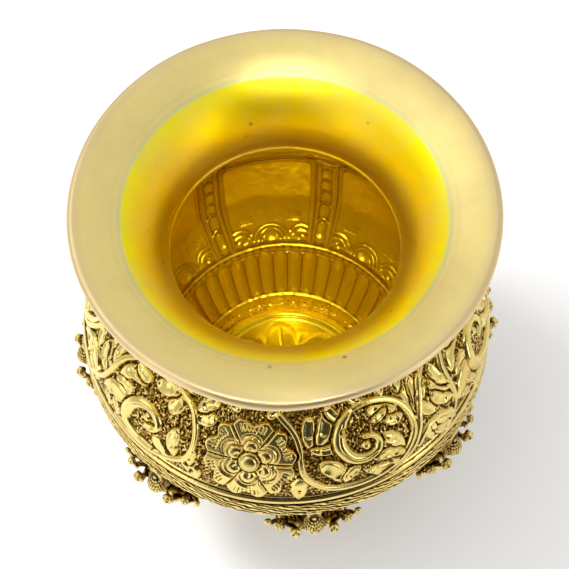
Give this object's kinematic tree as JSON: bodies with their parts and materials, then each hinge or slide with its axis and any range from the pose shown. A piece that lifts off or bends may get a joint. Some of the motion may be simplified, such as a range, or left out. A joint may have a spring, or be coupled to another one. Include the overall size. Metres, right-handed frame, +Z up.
{
  "type": "brass ritual pot",
  "caption": "Wide-mouthed brass ritual pot with a flaring collar, embossed floral shoulder, moulded girth band and seated figures around a tapering body on a foot ring.",
  "frame": {"origin": "centre of the foot ring's underside, on the pot's axis", "axes": "+Z up along the pot's axis of revolution; the first seated figure faces -Y and the others follow every 45 degrees"},
  "size_m": [0.1762, 0.1762, 0.168],
  "materials": {
    "satin_brass": "spun and lightly brushed, pale satin brass with small dark specks",
    "antique_brass": "polished relief over a dark brown stippled ground",
    "bright_brass": "bright golden brass inside the vessel",
    "cast_brass": "cast brass, polished high points and dark recesses"
  },
  "bodies": {
    "root": {"rim_collar": "satin_brass", "rim_wire": "satin_brass", "shoulder_shell": "antique_brass", "girth_band": "antique_brass", "lower_body": "antique_brass", "base_disc": "bright_brass", "foot_ring": "antique_brass", "figure_1": "cast_brass", "figure_2": "cast_brass", "figure_3": "cast_brass", "figure_4": "cast_brass", "figure_5": "cast_brass", "figure_6": "cast_brass", "figure_7": "cast_brass", "figure_8": "cast_brass"}
  },
  "joints": []
}
